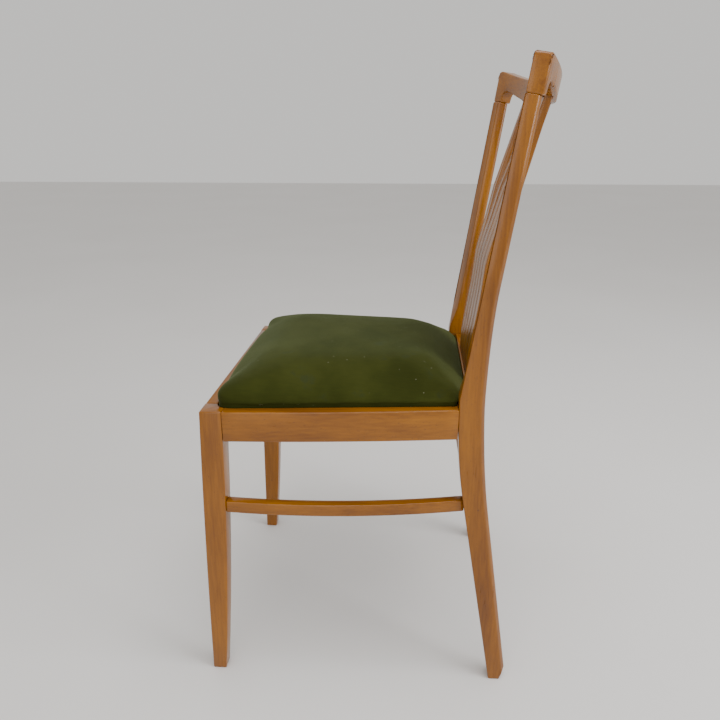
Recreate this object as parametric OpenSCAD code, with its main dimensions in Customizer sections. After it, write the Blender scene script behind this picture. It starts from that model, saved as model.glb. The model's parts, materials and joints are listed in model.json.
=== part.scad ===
// A beech dining chair with a sheaf back and a drop-in upholstered seat.
// Millimetres. +Z is up, the sitter faces -Y and the sitter's left is +X.
// The origin is on the floor, in the middle of the chair's outer box.

/* [Seat frame] */
// Height of the top of the seat rails
rail_top = 440; // [420:1:460]
// Height of the seat rails
rail_h = 44; // [40:1:52]
// Thickness of the seat rails
rail_t = 25; // [23:1:28]
// Width of the lip left outside the seat's rebate, on the side rails
lip = 15; // [13:1:16]
// Width of the lip on the front rail
front_lip = 16; // [14:1:18]
// Depth of the seat's rebate
rebate = 15; // [14:1:17]
// How far the side rails bow outwards
rail_bow = 4; // [0:1:6]

/* [Front legs] */
// Half the width over the front legs at the rails
front_half_w = 208; // [195:1:220]
// Half the width over the front feet
front_foot_half_w = 209.2; // [205:0.1:215]
// Thickness of a front leg across the chair, at the top
front_leg_t = 31; // [30:1:34]
// Thickness of a front foot across the chair
front_foot_t = 21.5; // [19:0.5:26]
// Depth of a front leg at the rails
front_leg_d = 31; // [29:1:34]
// Depth of a front foot
front_foot_d = 20.5; // [18:0.5:26]
// How far the front feet stand ahead of the leg tops
front_rake = 11.8; // [0:0.2:16]

/* [Rear legs] */
// Half the width over the rear legs at the seat
rear_half_w = 176.6; // [170:0.1:184]
// Half the width over the rear feet
rear_foot_half_w = 198.4; // [190:0.1:204]
// Half the width over the tops of the rear legs
rear_top_half_w = 172.4; // [168:0.1:180]
// Thickness of a rear leg across the chair, at the seat
rear_leg_t = 26; // [24:1:28]
// Thickness of a rear foot across the chair
rear_foot_t = 21.5; // [19:0.5:23]
// Thickness of a rear leg across the chair, at the top
rear_top_t = 18; // [17:0.5:20]
// How far the uprights' front faces are turned towards the middle
face_turn = 16; // [8:1:18]
// Height of the tops of the rear legs
rear_leg_top = 842; // [820:1:860]

/* [Stretchers] */
// Height of the underside of the side stretchers
stretcher_z = 282; // [260:1:300]
// Height of a stretcher
stretcher_h = 18; // [16:1:22]
// Thickness of a stretcher
stretcher_t = 15; // [13:1:17]
// How far the stretchers bow outwards
stretcher_bow = 13; // [4:1:16]

/* [Crest rail] */
// Height of the middle of the crest rail's lower edge
crest_low = 832; // [826:1:836]
// Height of the crest rail at its middle
crest_h = 33; // [31:0.5:38]
// Radius of the crest rail's hollow, on its back
crest_r = 380; // [360:5:420]
// Thickness of the crest rail
crest_t = 19; // [18:0.5:21]
// How far the crest rail leans back
crest_lean = 8.5; // [7:0.5:11]
// Radius of the crest rail's outer top corners
crest_corner_r = 8; // [6:1:12]

/* [Back slats] */
// Width of one slat where the slats stand side by side
slat_w = 32; // [28:0.5:34]
// Width of one slat under the crest rail
slat_top_w = 20; // [16:0.5:22]
// Height at which the slats part
slat_part_z = 645; // [620:1:660]
// Distance between slats under the crest rail
slat_top_pitch = 41; // [38:1:42]

/* [Drop-in seat] */
// Height of the seat's crown over the top of the rails
crown = 57; // [45:1:70]
// Thickness of the seat's wooden frame
seat_frame_t = 14; // [13:0.5:16]
// Width of the seat frame's members
seat_member_w = 42; // [36:1:50]
// Thickness of the velvet cover
cover_t = 1; // [0.8:0.1:1.4]
// Radius of the seat's front corners
seat_corner_r = 26; // [20:1:36]

/* [Fasteners] */
// Diameter of the dowels
dowel_d = 8; // [7:0.5:8]
// Length of the dowels
dowel_l = 36; // [30:1:38]
// Diameter of the corner block screws
screw_d = 4; // [3.5:0.5:5]
// Length of the corner block screws
screw_l = 32; // [28:1:32]

/* [Hidden] */
$fn = 48;

beech = "#B07320";
pale_beech = "#D9B98A";
brass = "#9C8A5A";
steel = "#8A8D90";
velvet = "#46521F";

// Places along the chair's depth
front_y = -233.7;                       // front of the front legs, at the rails
front_foot_y = front_y - front_rake;    // front of the front feet
rail_start_y = front_y + front_leg_d;   // where the side rails leave the front legs
rear_y = 120.5;                         // front of the rear legs, at the seat
rear_leg_d = 36;                        // depth of the rear legs, at the seat
rear_top_y = 177.8;                     // front of the rear legs' tops
rear_top_d = 21.5;                      // depth of the rear legs' tops
rear_foot_y = 184;                      // front of the rear feet
rear_foot_d = 26.5;                     // depth of the rear feet
rear_rail_back = 153;                   // back of the rear rail
rear_rail_t = 30;                       // thickness of the rear rail
rear_rail_rise = 10;                    // how far the rear rail stands over the side rails
crest_mid_y = 242.5;                    // back of the crest rail's middle, at crest_mid_z
crest_mid_z = 852;
arch_turn = 24;                         // how far the crest rail's arches are turned in plan

// Heights
rail_low = rail_top - rail_h;
ledge_z = rail_top - rebate;
seat_wood_z = ledge_z + cover_t;
seat_wood_top = seat_wood_z + seat_frame_t;
web_t = 1.2;
hessian_t = 0.8;
stuffing_z = seat_wood_top + 2 * web_t + hessian_t;

fit = 1;                                // gap between the seat and its rebate
rail_inset = 1.5;                       // front rail's face behind the legs' faces
side_slope = (front_half_w - rear_half_w) / (rear_y - rail_start_y);
slat_count = 5;
slat_tenon = 12;
stretcher_tenon_d = 10;
stretcher_tenon_l = 15;
stretcher_mid_z = stretcher_z + stretcher_h / 2;
block_leg = 62;
block_h = 24;
block_top = ledge_z - 1;
web_w = 50;
web_pitch = 88;
flange = 22;

// ---- Outline helpers ----

// Points along a curve that leaves a towards b and ends at c
function curve(a, b, c, n = 8) =
    [for (i = [0:n]) let (t = i / n) (1 - t) * (1 - t) * a + 2 * t * (1 - t) * b + t * t * c];

// A closed outline with each corner eased over its own length
function eased(p, r, n = 6) =
    [for (i = [0:len(p) - 1])
        let (a = p[(i + len(p) - 1) % len(p)], b = p[(i + 1) % len(p)],
             u = (a - p[i]) / norm(a - p[i]), v = (b - p[i]) / norm(b - p[i]))
        each (r[i] > 0 ? curve(p[i] + u * r[i], p[i], p[i] + v * r[i], n) : [p[i]])];

// Half the width over the side rails, on their straight line, at depth y
function half_w(y) = front_half_w - side_slope * (y - rail_start_y);

// The seat's outline, drawn in by i all round, with a notch at each rear leg
function seat_corners(i) =
    let (f = front_y + rail_inset + front_lip + fit + i, n = rear_y - 2 - i,
         b = rear_rail_back - rear_rail_t + 9 - i, nw = rear_half_w - rear_leg_t - 2 - i,
         fw = half_w(f) - lip - fit - i, rw = half_w(n) - lip - fit - i)
    [[-fw, f], [fw, f], [rw, n], [nw, n], [nw, b], [-nw, b], [-nw, n], [-rw, n]];
function seat_outline(i) =
    eased(seat_corners(i), [seat_corner_r, seat_corner_r, 7, 3, 5, 5, 3, 7], 5);

// Half the width of the crest rail's lower and upper edges at x
function crest_under(x) = crest_low + 0.00125 * x * x;
function crest_over(x) = crest_low + crest_h + 0.00082 * x * x;

// The middle of a slat's depth where it enters the crest rail
function slat_top_y(x) = 227 - x * x / (2 * crest_r);

// ---- Solid helpers ----

// Both sides of the chair: side 1 is the sitter's left
module on_side(side) { mirror([side > 0 ? 0 : 1, 0, 0]) children(); }

// An outline in depth and height, extruded across the chair from x0 to x1
module across(points, x0, x1) {
    translate([x0, 0, 0]) rotate([90, 0, 90]) linear_extrude(x1 - x0) polygon(points);
}

// An outline in width and height, extruded along the chair's depth from y0 to y1
module along(points, y0, y1) {
    translate([0, y1, 0]) rotate([90, 0, 0]) linear_extrude(y1 - y0) polygon(points);
}

// A plain dowel lying along the chair's depth
module dowel_y(x, y, z, l = dowel_l, d = dowel_d) {
    translate([x, y - l / 2, z]) rotate([-90, 0, 0]) cylinder(h = l, d = d);
}

// A plain dowel lying across the chair
module dowel_x(x, y, z, l = dowel_l, d = dowel_d) {
    translate([x - l / 2, y, z]) rotate([0, 90, 0]) cylinder(h = l, d = d);
}

// The space that the drop-in seat fits in
module seat_recess() {
    translate([0, 0, ledge_z]) linear_extrude(rebate + 30) polygon(seat_outline(-fit));
}

// ---- Legs ----

module front_leg_blank() {
    intersection() {
        across(concat(
            curve([front_foot_y, 0], [front_foot_y + 3, rail_top / 2], [front_y, rail_top]),
            curve([rail_start_y, rail_top], [rail_start_y - 2.8, rail_top / 2],
                  [front_foot_y + front_foot_d, 0])), 150, 230);
        along([[front_foot_half_w - front_foot_t, 0], [front_foot_half_w, 0],
               [front_half_w, rail_top], [front_half_w - front_leg_t, rail_top],
               [front_half_w - front_leg_t, rail_low]], -260, -190);
    }
}

module front_leg(side) {
    color(beech) on_side(side) difference() {
        front_leg_blank();
        seat_recess();
        rail_dowel_set();
        stretcher_tenons();
    }
}

// The rear leg's side view, in two edges: raked below, curved at the seat, straight above
rear_leg_front = concat(
    [[rear_foot_y, 0]],
    curve([132, 300], [121.6, 360], [rear_y, 430]),
    curve([rear_y, 455], [127.2, 500], [142.2, 600]),
    [[rear_top_y + 0.6, rear_leg_top + 4]]);
rear_leg_back = concat(
    [[rear_top_y + rear_top_d + 0.6, rear_leg_top + 4]],
    curve([165.6, 608], [158, 555], [rear_y + rear_leg_d - 0.6, 460]),
    curve([rear_y + rear_leg_d - 0.6, 440], [158.5, 350], [169.2, 280]),
    [[rear_foot_y + rear_foot_d - 2.9, 20], [rear_foot_y + rear_foot_d - 10, 0]]);

// Where the rear leg's outer and inner faces stand, at height z
function leg_outer(z) = lookup(z, [[0, rear_foot_half_w], [rail_top - 20, rear_half_w],
                                   [rear_leg_top, rear_top_half_w]]);
function leg_inner(z) = lookup(z, [[0, rear_foot_half_w - rear_foot_t],
    [rail_low - 10, rear_half_w - rear_leg_t], [rail_top + 30, rear_half_w - rear_leg_t],
    [rear_leg_top, rear_top_half_w - rear_top_t]]);

// A solid bounded by a face turned by a degrees in plan, through each [x, y, z] of an edge
module turned(edge, a, far) {
    points = [for (p = edge) [p[1] * cos(a) + p[0] * sin(a), p[2]]];
    rotate([0, 0, -a]) across(concat(points, [[far, edge[len(edge) - 1][2]], [far, edge[0][2]]]),
                              -600, 600);
}

module rear_leg_blank() {
    turn_from = rail_top + rear_rail_rise + 4;
    rear_edge = concat([for (p = rear_leg_back) if (p[1] > 100) p], [[rear_foot_y + rear_foot_d, 0]]);
    intersection() {
        across(concat(rear_leg_front, rear_leg_back), 130, 210);
        along(concat([for (z = [0, rail_top - 20, rear_leg_top + 5]) [leg_outer(z), z]],
                     [for (z = [rear_leg_top + 5, rail_top + 30, rail_low - 10, 0]) [leg_inner(z), z]]),
              100, 230);
        turned(concat([[leg_outer(0) - 14, 180, 0], [leg_outer(0) - 50, 60, turn_from]],
                      [for (p = rear_leg_front) if (p[1] > turn_from)
                          [leg_outer(p[1]), p[0] - max(0, 500 - p[1]) / 5, p[1]]]), face_turn, 600);
        turned([for (p = rear_edge) [leg_outer(p[1]) - 5, p[0], p[1]]], 45, -600);
        turned([for (p = rear_edge) [leg_inner(p[1]) + 3, p[0], p[1]]], -45, -600);
        crest_place() translate([-300, -900, crest_level(rear_top_half_w, rear_leg_top) - 1000])
            cube([600, 1200, 1000]);
    }
}

module rear_leg(side) {
    color(beech) on_side(side) difference() {
        rear_leg_blank();
        rail_dowel_set();
        crest_dowel();
        stretcher_tenons();
    }
}

// ---- Seat rails ----

module rail_blank(points) {
    translate([0, 0, rail_low]) linear_extrude(rail_h) polygon(points);
}

module side_rail(side) {
    mid = (rail_start_y + rear_y) / 2;
    color(beech) on_side(side) difference() {
        rail_blank(concat(
            curve([half_w(rail_start_y), rail_start_y], [half_w(mid) + 2 * rail_bow, mid],
                  [half_w(rear_y), rear_y], 16),
            [[half_w(rear_y) - rail_t, rear_y], [half_w(rail_start_y) - rail_t, rail_start_y]]));
        seat_recess();
        rail_dowel_set();
        block_screws();
    }
}

module front_rail() {
    x = front_half_w - front_leg_t;
    y = front_y + rail_inset;
    color(beech) difference() {
        rail_blank([[-x, y], [x, y], [x, y + rail_t], [-x, y + rail_t]]);
        seat_recess();
        for (side = [-1, 1]) on_side(side) {
            rail_dowel_set();
            block_screws();
        }
    }
}

module rear_rail() {
    x = rear_half_w - rear_leg_t;
    y = rear_rail_back - rear_rail_t;
    color(beech) difference() {
        translate([-x, y, rail_low]) cube([2 * x, rear_rail_t, rail_h + rear_rail_rise]);
        seat_recess();
        for (i = [1:slat_count]) slat_blank(i);
        for (side = [-1, 1]) on_side(side) {
            rail_dowel_set();
            block_screws();
        }
    }
}

// ---- Stretchers ----

// Places of a stretcher's outer face at its two ends
stretcher_front = [205.4, -206.6];
stretcher_rear = [176, 134];

module stretcher_blank() {
    mid = (stretcher_front + stretcher_rear) / 2 + [2 * stretcher_bow, 0];
    in = [-stretcher_t, 0];
    difference() {
        translate([0, 0, stretcher_z]) linear_extrude(stretcher_h) polygon(concat(
            curve(stretcher_front, mid, stretcher_rear, 20),
            curve(stretcher_rear + in, mid + in, stretcher_front + in, 20)));
        front_leg_blank();
        rear_leg_blank();
    }
}

module stretcher_tenons() {
    for (p = [stretcher_front, stretcher_rear])
        dowel_y(p[0] - stretcher_t / 2, p[1] + (p[1] < 0 ? -2 : 2), stretcher_mid_z,
                2 * stretcher_tenon_l, stretcher_tenon_d);
}

module side_stretcher(side) {
    color(beech) on_side(side) {
        stretcher_blank();
        intersection() {
            stretcher_tenons();
            union() {
                stretcher_blank();
                front_leg_blank();
                rear_leg_blank();
            }
        }
    }
}

// ---- Crest rail and slats ----

// The crest rail leans back, so it is shaped in a frame of its own
module crest_place() {
    translate([0, crest_mid_y, crest_mid_z]) rotate([-crest_lean, 0, 0]) children();
}

// Height in the crest rail's own frame of a point of its middle surface, x out and at height z
function crest_level(x, z) =
    (z - crest_mid_z - (crest_r - sqrt(crest_r * crest_r - x * x) + crest_t / 2) * sin(crest_lean))
    / cos(crest_lean);

// The crest rail's front view: it dips in the middle and its ends drop onto the legs
function crest_front() =
    let (w = rear_top_half_w, in = w - rear_top_t, top = w - crest_corner_r,
         right = concat(
            [for (i = [0:11]) let (x = 12 * i) [x, crest_under(x)]],
            [[136, crest_under(134) - 1.5], [136, rear_leg_top - 20], [w, rear_leg_top - 20]],
            curve([w, crest_over(w) - crest_corner_r], [w, crest_over(w)], [top, crest_over(top)], 6),
            [for (i = [10:-1:0]) let (x = 16 * i) [x, crest_over(x)]]))
    concat(right, [for (i = [len(right) - 2:-1:1]) [-right[i][0], right[i][1]]]);

module crest_blank() {
    crest_place() difference() {
        intersection() {
            along([for (p = crest_front()) [p[0], crest_level(p[0], p[1])]], -150, 50);
            translate([0, -crest_r, -80]) difference() {
                cylinder(h = 160, r = crest_r, $fn = 180);
                translate([0, 0, -1]) cylinder(h = 162, r = crest_r - crest_t, $fn = 180);
            }
        }
        translate([-250, -300, crest_level(rear_top_half_w, rear_leg_top) - 100]) cube([500, 600, 100]);
        for (side = [-1, 1]) on_side(side) crest_arch();
    }
}

// The arch beside each end, cut square to the crest rail's curved face
module crest_arch() {
    in = rear_top_half_w - rear_top_t;
    arch = concat([[100, rear_leg_top - 30], [in, rear_leg_top - 30], [in, rear_leg_top + 2]],
                  curve([in, rear_leg_top + 3], [in - 1, crest_under(in - 10)],
                        [in - 14, crest_under(in - 10) - 0.5], 5),
                  [[118, crest_under(122)], [100, crest_under(100)]]);
    front = sqrt(pow(crest_r - crest_t, 2) - in * in) - crest_r;
    translate([in, front, 0]) rotate([0, 0, -arch_turn])
        along([for (p = arch) [p[0] - in, crest_level(in, p[1])]], -6, 40);
}

module crest_rail() {
    color(beech) difference() {
        crest_blank();
        for (i = [1:slat_count]) slat_blank(i);
        for (side = [-1, 1]) on_side(side) crest_dowel();
    }
}

// One slat: upright in the bundle, then fanned out and bent back to the crest rail
module slat_blank(i) {
    k = i - (slat_count + 1) / 2;
    low = k * slat_w;
    high = k * slat_top_pitch;
    under = min(crest_under(high - slat_top_w / 2), crest_under(high + slat_top_w / 2));
    y = slat_top_y(high);
    set = y - slat_top_y(2 * slat_top_pitch);
    foot = rail_top + rear_rail_rise - slat_tenon;
    head = under + slat_tenon;
    intersection() {
        across(concat(
            [[136, foot]],
            curve([136.5, 480], [142, 520], [149.5, 575], 4),
            curve([154, 620], [159, 645], [165.5 + 0.1 * set, 668], 4),
            [[177 + 0.4 * set, 720], [y - 5, under], [y - 3, head], [y + 7, head], [y + 5.5, under]],
            curve([194.4 + 0.45 * set, 718], [176 + 0.1 * set, 655], [168, 575], 6),
            [[151, 478], [151, foot]]), -150, 150);
        along([[low - slat_w / 2, foot], [low + slat_w / 2, foot],
               [low + slat_w / 2, slat_part_z], [high + slat_top_w / 2, head],
               [high - slat_top_w / 2, head], [low - slat_w / 2, slat_part_z]], 100, 300);
    }
}

module back_slat(i) { color(beech) slat_blank(i); }

// ---- Dowels, corner blocks and screws ----

dowel_zs = [rail_low + 10, rail_low + 22];

// The dowels of one side's rail joints
module rail_dowel_set() {
    for (z = dowel_zs) {
        dowel_y(half_w(rail_start_y) - rail_t / 2, rail_start_y, z);
        dowel_y(half_w(rear_y) - rail_t / 2 - 1, rear_y, z);
        dowel_x(front_half_w - front_leg_t - 4, front_y + rail_inset + 9, z, dowel_l - 4);
        dowel_x(rear_half_w - rear_leg_t - 4, rear_rail_back - 8, z);
    }
}

module rail_dowels() {
    color(pale_beech) for (side = [-1, 1]) on_side(side) rail_dowel_set();
}

module crest_dowel() {
    x = rear_top_half_w - rear_top_t / 2;
    y = rear_top_y + rear_top_d / 2 + 1;
    translate([x, y, rear_leg_top]) rotate([-9, 0, 0])
        translate([0, 0, -dowel_l / 2]) cylinder(h = dowel_l, d = dowel_d);
}

module crest_dowels() {
    color(pale_beech) for (side = [-1, 1]) on_side(side) crest_dowel();
}

// Plan of the space inside the rails
function inner_plan() =
    let (f = front_y + rail_inset + rail_t, b = rear_rail_back - rear_rail_t)
    [[-half_w(f) + rail_t, f], [half_w(f) - rail_t, f],
     [half_w(b) - rail_t, b], [-half_w(b) + rail_t, b]];

block_front = [half_w(front_y + rail_inset + rail_t) - rail_t, front_y + rail_inset + rail_t];
block_rear = [half_w(rear_rail_back - rear_rail_t) - rail_t, rear_rail_back - rear_rail_t];

module corner_block(corner, way) {
    color(pale_beech) difference() {
        translate([0, 0, block_top - block_h]) linear_extrude(block_h) intersection() {
            polygon(inner_plan());
            polygon([corner + [20, -20 * way], corner + [20, block_leg * way],
                     corner + [-block_leg, -20 * way]]);
        }
        front_leg_blank();
        rear_leg_blank();
        block_screws();
        screw_recesses();
    }
}

module block_screw(p, turn) {
    translate([p[0], p[1], block_top - block_h / 2]) rotate([0, 0, turn]) rotate([-90, 0, 0]) {
        cylinder(h = screw_l, d = screw_d);
        cylinder(h = 2.4, d1 = 2 * screw_d, d2 = screw_d);
    }
}

// Where each screw's head sits, and which way the screw points
screw_places = [
    [block_front + [-34, 18], 180], [block_front + [-15, 34], 275.5],
    [block_rear + [-34, -18], 0], [block_rear + [-15, -36], 275.5]];

module block_screws() { for (s = screw_places) block_screw(s[0], s[1]); }

// The counterbores that let a screwdriver reach the heads
module screw_recesses() {
    for (s = screw_places)
        translate([s[0][0], s[0][1], block_top - block_h / 2]) rotate([0, 0, s[1]])
            rotate([90, 0, 0]) cylinder(h = 40, d = 2 * screw_d + 1);
}

module corner_block_screws() {
    color(steel) for (side = [-1, 1]) on_side(side) block_screws();
}

// ---- Drop-in seat ----

module seat_plate(i, z, t) { translate([0, 0, z]) linear_extrude(t) polygon(seat_outline(i)); }

seat_front_y = seat_corners(cover_t)[0][1];
seat_back_y = seat_corners(cover_t)[4][1];
joint_front_y = seat_front_y + seat_member_w;
joint_back_y = seat_back_y - seat_member_w;

// The seat frame's ring, between two depths
module seat_ring(y0, y1) {
    difference() {
        intersection() {
            seat_plate(cover_t, seat_wood_z, seat_frame_t);
            translate([-250, y0, 0]) cube([500, y1 - y0, 500]);
        }
        translate([0, 0, seat_wood_z - 1]) linear_extrude(seat_frame_t + 2) polygon([
            [-half_w(joint_front_y) + lip + seat_member_w, joint_front_y],
            [half_w(joint_front_y) - lip - seat_member_w, joint_front_y],
            [half_w(joint_back_y) - lip - seat_member_w, joint_back_y],
            [-half_w(joint_back_y) + lip + seat_member_w, joint_back_y]]);
        seat_dowel_set();
        webbing_tack_set();
        cover_tack_set();
    }
}

module seat_frame_front() { color(pale_beech) seat_ring(seat_front_y - 5, joint_front_y); }
module seat_frame_back() { color(pale_beech) seat_ring(joint_back_y, seat_back_y + 5); }
module seat_frame_side(side) {
    color(pale_beech) intersection() {
        seat_ring(joint_front_y, joint_back_y);
        translate([side > 0 ? 0 : -300, -300, 0]) cube([300, 600, 600]);
    }
}

module seat_dowel_set() {
    for (side = [-1, 1], y = [joint_front_y, joint_back_y], dx = [-9, 9])
        dowel_y(side * (half_w(y) - lip - seat_member_w / 2 - 2 + dx), y,
                seat_wood_z + seat_frame_t / 2, 30, 6);
}
module seat_frame_dowels() { color(pale_beech) seat_dowel_set(); }

// Ends of the webbing, on the frame
web_front = seat_front_y + 12;
web_back = seat_back_y - 12;
web_ys = [-134, -46, 42];
function web_half(y) = half_w(y) - lip - 14;

module webbing_lengthwise() {
    color("#B9A27C") difference() {
        for (k = [-1:1]) translate([k * web_pitch - web_w / 2, web_front, seat_wood_top])
            cube([web_w, web_back - web_front, web_t]);
        webbing_tack_set();
    }
}

module webbing_crosswise() {
    color("#A58E6A") difference() {
        for (y = web_ys) translate([-web_half(y + 25), y - web_w / 2, seat_wood_top + web_t])
            cube([2 * web_half(y + 25), web_w, web_t]);
        webbing_tack_set();
    }
}

cover_tack_l = 7;

// A tack with its head's underside at z, and its point along way
module tack(p, z, way, l = 9) {
    translate([p[0], p[1], z]) mirror([0, 0, way > 0 ? 0 : 1]) {
        translate([0, 0, -0.6]) cylinder(h = 0.6, d = 5);
        cylinder(h = l, d = 1.6);
    }
}

// The tacks that hold the webbing: their heads lie on the bands
module webbing_tack_set() {
    for (k = [-1:1], dx = [-16, 0, 16]) {
        tack([k * web_pitch + dx, web_front + 6], seat_wood_top + web_t, -1);
        tack([k * web_pitch + dx, web_back - 6], seat_wood_top + web_t, -1);
    }
    for (side = [-1, 1], y = web_ys, dy = [-16, 0, 16])
        tack([side * (web_half(y + 25) - 6), y + dy], seat_wood_top + 2 * web_t, -1);
}
module webbing_tacks() { color(steel) webbing_tack_set(); }

module hessian() {
    color("#A88B5C") difference() {
        seat_plate(cover_t + 4, seat_wood_top + 2 * web_t, hessian_t);
        webbing_tack_set();
    }
}

// The seat's crowned form on a straight wall: rings of the outline, drawn in as they rise
pad_steps = [[0, 0], [0, 0.13], [-0.005, 0.24], [0.004, 0.42], [0.04, 0.57],
             [0.11, 0.68], [0.23, 0.8], [0.4, 0.905], [0.6, 0.965], [0.8, 0.992]];
module pad_form(i, foot, top) {
    base = seat_outline(i);
    mid = [0, (seat_front_y + seat_back_y) / 2];
    n = len(base);
    m = len(pad_steps) + 1;
    rings = concat([[0, foot]],
        [for (s = pad_steps) [s[0], stuffing_z + (top - stuffing_z) * s[1]]]);
    points = concat(
        [for (s = rings, p = base) let (q = mid + (p - mid) * (1 - s[0])) [q[0], q[1], s[1]]],
        [[mid[0], mid[1], top]]);
    faces = concat(
        [[for (j = [0:n - 1]) j]],
        [for (k = [0:m - 2], j = [0:n - 1])
            [k * n + j, (k + 1) * n + j, (k + 1) * n + (j + 1) % n, k * n + (j + 1) % n]],
        [for (j = [0:n - 1]) [(m - 1) * n + j, m * n, (m - 1) * n + (j + 1) % n]]);
    polyhedron(points = points, faces = faces, convexity = 4);
}

module stuffing() {
    color("#CDBf9A") intersection() {
        pad_form(cover_t, seat_wood_z, rail_top + crown - cover_t);
        translate([-300, -300, stuffing_z]) cube(600);
    }
}

module velvet_cover() {
    color(velvet) difference() {
        pad_form(0, ledge_z, rail_top + crown);
        pad_form(cover_t, seat_wood_z, rail_top + crown - cover_t);
        seat_plate(flange, ledge_z - 1, 3);
        cover_tack_set();
    }
}

module dust_cloth() {
    color("#2B2B2B") difference() {
        seat_plate(16, ledge_z - 0.5, 0.5);
        cover_tack_set();
    }
}

// The tacks that hold the cover and the dust cloth under the seat frame
module cover_tack_set() {
    z = ledge_z - 0.5;
    for (k = [-2:2]) {
        tack([k * 62, seat_front_y + 18], z, 1, cover_tack_l);
        tack([k * 52, seat_back_y - 18], z, 1, cover_tack_l);
    }
    for (side = [-1, 1], y = [-150, -90, -30, 30, 80])
        tack([side * (half_w(y) - lip - 19), y], z, 1, cover_tack_l);
}
module cover_tacks() { color(steel) cover_tack_set(); }

// ---- Which sub-part is drawn ----

front_leg(1);  // front_leg_left
front_leg(-1);  // front_leg_right
rear_leg(1);  // rear_leg_left
rear_leg(-1);  // rear_leg_right
front_rail();
rear_rail();
side_rail(1);  // side_rail_left
side_rail(-1);  // side_rail_right
side_stretcher(1);  // side_stretcher_left
side_stretcher(-1);  // side_stretcher_right
crest_rail();
back_slat(1);  // back_slat_1
back_slat(2);  // back_slat_2
back_slat(3);  // back_slat_3
back_slat(4);  // back_slat_4
back_slat(5);  // back_slat_5
rail_dowels();
crest_dowels();
corner_block(block_front, 1);  // corner_block_front_left
on_side(-1) corner_block(block_front, 1);  // corner_block_front_right
corner_block(block_rear, -1);  // corner_block_rear_left
on_side(-1) corner_block(block_rear, -1);  // corner_block_rear_right
corner_block_screws();
seat_frame_front();
seat_frame_back();
seat_frame_side(1);  // seat_frame_left
seat_frame_side(-1);  // seat_frame_right
seat_frame_dowels();
webbing_lengthwise();
webbing_crosswise();
webbing_tacks();
hessian();
stuffing();
velvet_cover();
dust_cloth();
cover_tacks();
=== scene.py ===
"""Looks of a dining chair: lacquered beech frame, a sheaf of slats and a drop-in velvet seat."""
import json
import logging
import math
from dataclasses import dataclass
from enum import Enum
from typing import Callable, Optional, Sequence, Union

import bpy
from mathutils import Matrix, Vector

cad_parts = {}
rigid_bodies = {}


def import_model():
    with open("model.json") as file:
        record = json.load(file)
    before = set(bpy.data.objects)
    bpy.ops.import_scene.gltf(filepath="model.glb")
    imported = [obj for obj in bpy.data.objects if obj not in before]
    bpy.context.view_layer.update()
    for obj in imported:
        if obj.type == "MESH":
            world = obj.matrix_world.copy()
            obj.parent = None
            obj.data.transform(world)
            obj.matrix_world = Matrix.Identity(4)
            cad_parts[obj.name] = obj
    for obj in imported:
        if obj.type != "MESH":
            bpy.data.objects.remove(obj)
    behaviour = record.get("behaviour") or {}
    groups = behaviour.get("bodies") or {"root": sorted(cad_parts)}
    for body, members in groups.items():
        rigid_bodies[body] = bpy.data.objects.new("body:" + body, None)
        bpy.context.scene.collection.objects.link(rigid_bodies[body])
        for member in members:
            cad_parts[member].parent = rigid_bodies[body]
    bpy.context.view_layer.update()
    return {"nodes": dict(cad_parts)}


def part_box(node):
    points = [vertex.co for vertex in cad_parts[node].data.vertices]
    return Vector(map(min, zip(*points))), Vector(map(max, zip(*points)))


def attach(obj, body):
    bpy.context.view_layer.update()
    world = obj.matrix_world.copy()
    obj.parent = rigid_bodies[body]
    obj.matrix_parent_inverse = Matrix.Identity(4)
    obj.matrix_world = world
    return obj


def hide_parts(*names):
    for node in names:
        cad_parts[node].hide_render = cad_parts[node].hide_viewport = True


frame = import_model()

Triple = tuple[float, float, float]
Colour = tuple[float, float, float, float]
MM = 0.001
WELD = 0.002 * MM  # points of a CAD mesh that are nearer than this become one
LEVEL_ANGLE = 0.05  # degrees between neighbouring faces that count as one flat face
ARRIS_ANGLE = 28.0  # degrees from which an edge of the wood is an arris, and is eased
WOOD_CRISP = 40.0  # degrees from which an edge is shaded crisp on wood and steel,
CLOTH_CRISP = 50.0  # on webbing and flat cloths,
COVER_CRISP = 60.0  # and on the velvet cover
ALL_SMOOTH = 180.0
log = logging.getLogger("dining_chair")


# ---------------------------------------------------------------- the bench: modelling by hand


def deselect_all() -> None:
    """Lets go of everything that is selected."""
    if bpy.context.mode != "OBJECT":
        bpy.ops.object.mode_set(mode="OBJECT")
    for obj in bpy.context.view_layer.objects:
        obj.select_set(False)


def take_up(obj: bpy.types.Object) -> None:
    """Selects one object alone and makes it active."""
    deselect_all()
    obj.select_set(True)
    bpy.context.view_layer.objects.active = obj


def edit(obj: bpy.types.Object, kind: str = "FACE", everything: bool = True) -> None:
    """Opens an object in edit mode.

    Args:
        obj: The object to open.
        kind: What is picked: VERT, EDGE or FACE.
        everything: Whether all of it is selected.
    """
    take_up(obj)
    bpy.ops.object.mode_set(mode="EDIT")
    bpy.ops.mesh.select_mode(type=kind)
    if everything:
        bpy.ops.mesh.select_all(action="SELECT")


def close(obj: bpy.types.Object) -> bpy.types.Object:
    """Leaves edit mode and gives the object back."""
    bpy.ops.object.mode_set(mode="OBJECT")
    return obj


def pick_edges(obj: bpy.types.Object, wanted: Callable[[Vector, Vector], bool]) -> None:
    """Selects the edges whose two ends pass a test.

    Args:
        obj: The object, in object mode.
        wanted: Test of an edge's two ends.
    """
    edit(obj, "EDGE", everything=False)
    bpy.ops.mesh.select_all(action="DESELECT")
    close(obj)
    points = obj.data.vertices
    for line in obj.data.edges:
        line.select = wanted(points[line.vertices[0]].co, points[line.vertices[1]].co)


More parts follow.
